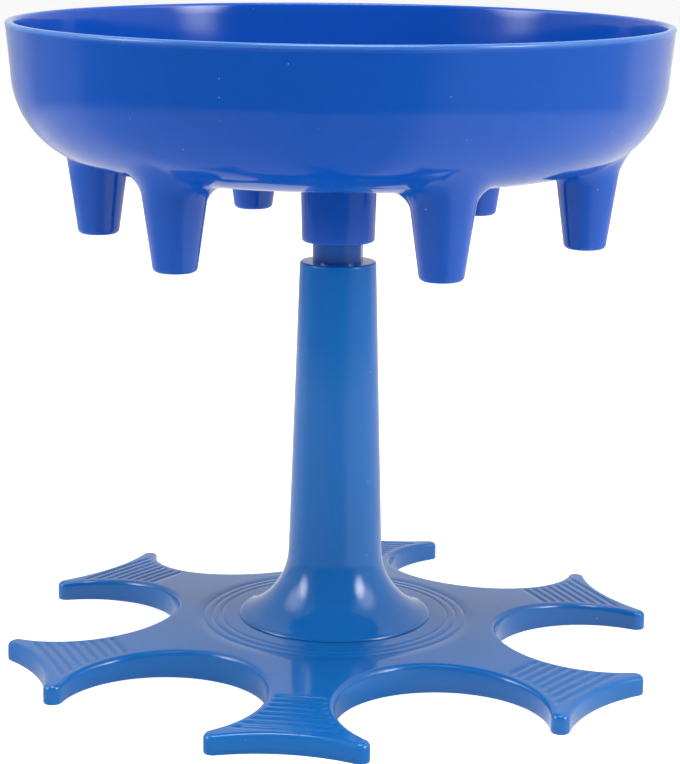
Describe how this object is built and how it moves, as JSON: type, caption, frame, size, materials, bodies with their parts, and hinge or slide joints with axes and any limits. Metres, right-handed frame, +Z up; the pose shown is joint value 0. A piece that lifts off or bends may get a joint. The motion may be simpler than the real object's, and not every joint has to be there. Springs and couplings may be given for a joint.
{
  "type": "party shot dispenser",
  "caption": "Round pouring bowl with nozzles under its floor, on a flared column above an armed plate with a round glass seat below each nozzle.",
  "frame": {"origin": "on the column's axis, in the plane that the plate stands on", "axes": "+Z up along the column; -Y along the arm that points at the viewer; +X through the middle of a glass seat, a nozzle and the spindle's flat"},
  "size_m": [0.1662, 0.1676, 0.163],
  "materials": {
    "bowl_blue": "glossy moulded plastic, very slightly translucent",
    "stand_blue": "glossy moulded plastic",
    "steel": "bright zinc-plated steel"
  },
  "bodies": {
    "stand": {"base_plate": "stand_blue", "column": "stand_blue"},
    "spindle": {"spindle": "stand_blue", "retaining_washer": "steel", "retaining_screw": "steel"},
    "bowl": {"dispenser_bowl": "bowl_blue"}
  },
  "joints": [
    {"name": "spindle_spin", "type": "hinge", "parent": "stand", "child": "spindle", "pos_m": [0, 0, 0.1024], "axis": [0, 0, 1], "continuous": true},
    {"name": "bowl_lift", "type": "slide", "parent": "spindle", "child": "bowl", "axis": [0, 0, 1], "range_m": [0, 0.03]}
  ]
}
